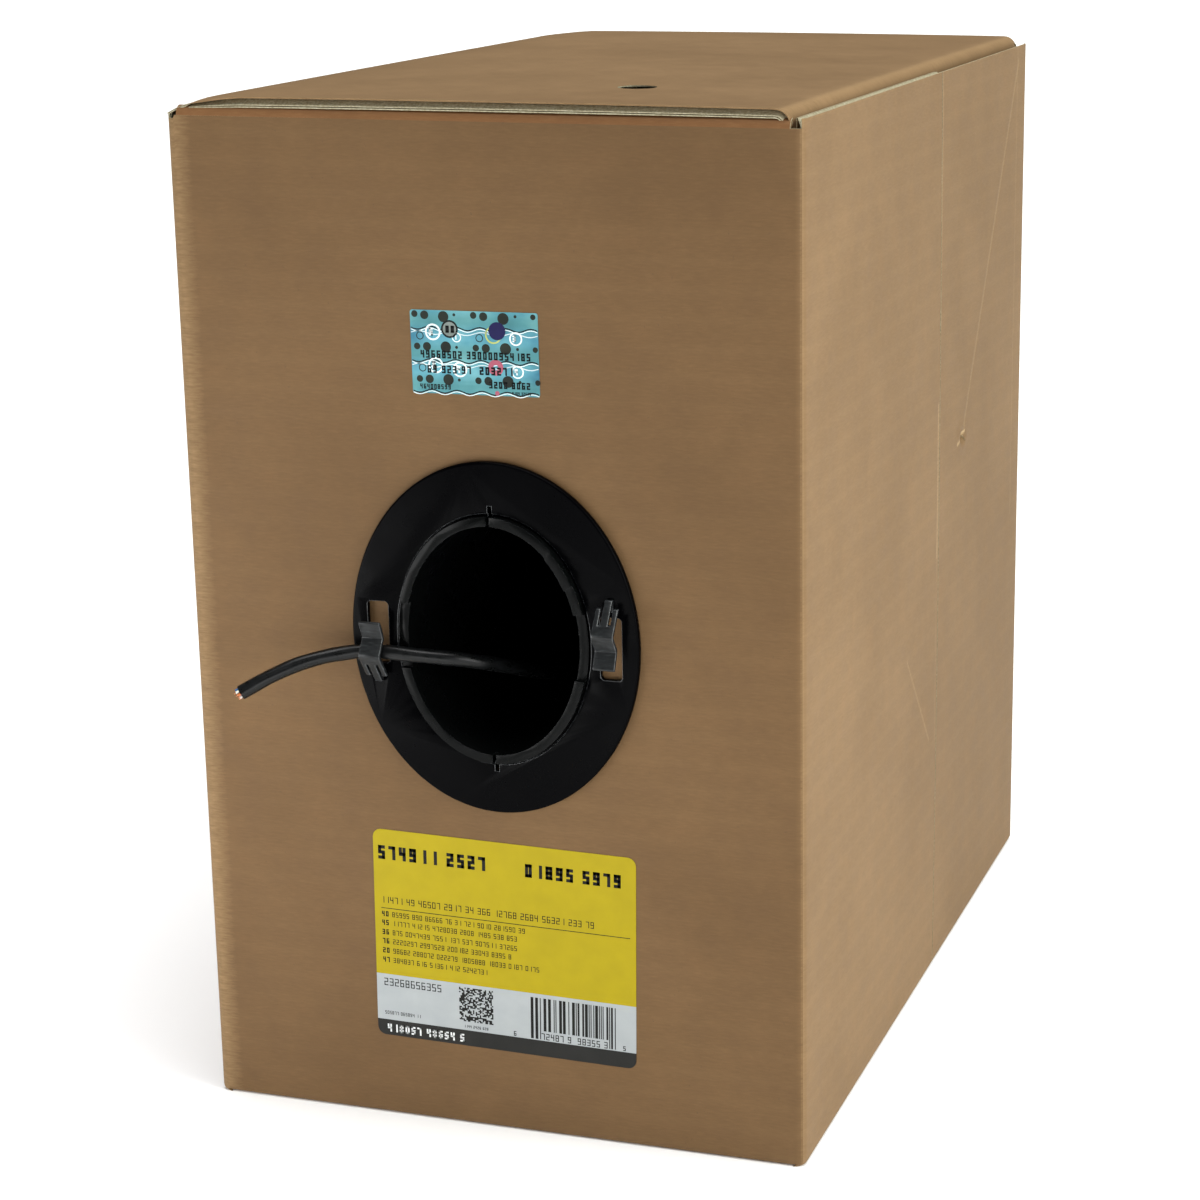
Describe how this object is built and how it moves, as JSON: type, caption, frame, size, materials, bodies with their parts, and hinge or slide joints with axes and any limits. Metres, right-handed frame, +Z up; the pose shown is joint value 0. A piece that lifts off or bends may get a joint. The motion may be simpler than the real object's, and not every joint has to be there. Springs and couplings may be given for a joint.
{
  "type": "cable pull box",
  "caption": "Corrugated carton of network cable with a self-supporting coil inside, an oval payout tube and flange in the front wall, cable clips, a hinged lid and folding dust flaps",
  "frame": {"origin": "centre of the carton's base, on the surface that it stands on", "axes": "X to the right across the front wall, Y to the back, Z up; the payout opening faces -Y"},
  "size_m": [0.211, 0.3666, 0.346],
  "materials": {
    "kraft_board": "brown kraft liner on corrugated board",
    "black_plastic": "moulded black polystyrene",
    "clip_plastic": "moulded black plastic, slightly worn",
    "cable_jacket": "extruded black PVC jacket",
    "wire_insulation": "extruded polyethylene insulation",
    "copper": "bare drawn copper",
    "label_paper": "coated label paper, printed in flat colours",
    "seal_film": "metallised film seal"
  },
  "bodies": {
    "carton": {"front_wall": "kraft_board", "back_wall": "kraft_board", "left_wall": "kraft_board", "right_wall_front": "kraft_board", "right_wall_rear": "kraft_board", "glue_lap": "kraft_board", "bottom_flap_left": "kraft_board", "bottom_flap_right": "kraft_board", "bottom_flap_front": "kraft_board", "bottom_flap_rear": "kraft_board", "outer_flange": "black_plastic", "payout_tube": "black_plastic", "cable_coil": "cable_jacket", "cable_lead": "cable_jacket", "conductor_ends": "wire_insulation", "copper_ends": "copper", "product_label": "label_paper", "seal_sticker": "seal_film"},
    "lid": {"lid_panel": "kraft_board"},
    "tuck": {"lid_tuck_flap": "kraft_board"},
    "front_dust": {"front_dust_flap": "kraft_board"},
    "rear_dust": {"rear_dust_flap": "kraft_board"},
    "clip_left": {"cable_clip_left": "clip_plastic"},
    "clip_right": {"cable_clip_right": "clip_plastic"}
  },
  "joints": [
    {"name": "lid_hinge", "type": "hinge", "parent": "carton", "child": "lid", "pos_m": [-0.1055, 0, 0.343], "axis": [0, -1, 0], "range_deg": [0, 170]},
    {"name": "tuck_fold", "type": "hinge", "parent": "lid", "child": "tuck", "pos_m": [0.0982, 0, 0.343], "axis": [0, 1, 0], "range_deg": [0, 68]},
    {"name": "front_dust_fold", "type": "hinge", "parent": "carton", "child": "front_dust", "pos_m": [0, -0.167, 0.34], "axis": [-1, 0, 0], "range_deg": [0, 80]},
    {"name": "rear_dust_fold", "type": "hinge", "parent": "carton", "child": "rear_dust", "pos_m": [0, 0.167, 0.34], "axis": [1, 0, 0], "range_deg": [0, 80]},
    {"name": "clip_left_flex", "type": "hinge", "parent": "carton", "child": "clip_left", "pos_m": [-0.0394, -0.1722, 0.1576], "axis": [1, 0, 0], "range_deg": [0, 10], "stiffness_Nm_per_rad": 0.3},
    {"name": "clip_right_flex", "type": "hinge", "parent": "carton", "child": "clip_right", "pos_m": [0.0418, -0.1722, 0.1908], "axis": [-1, 0, 0], "range_deg": [0, 10], "stiffness_Nm_per_rad": 0.3}
  ],
  "couplings": [
    {"joint": "tuck_fold", "follows": "lid_hinge", "ratio": 0.4}
  ]
}
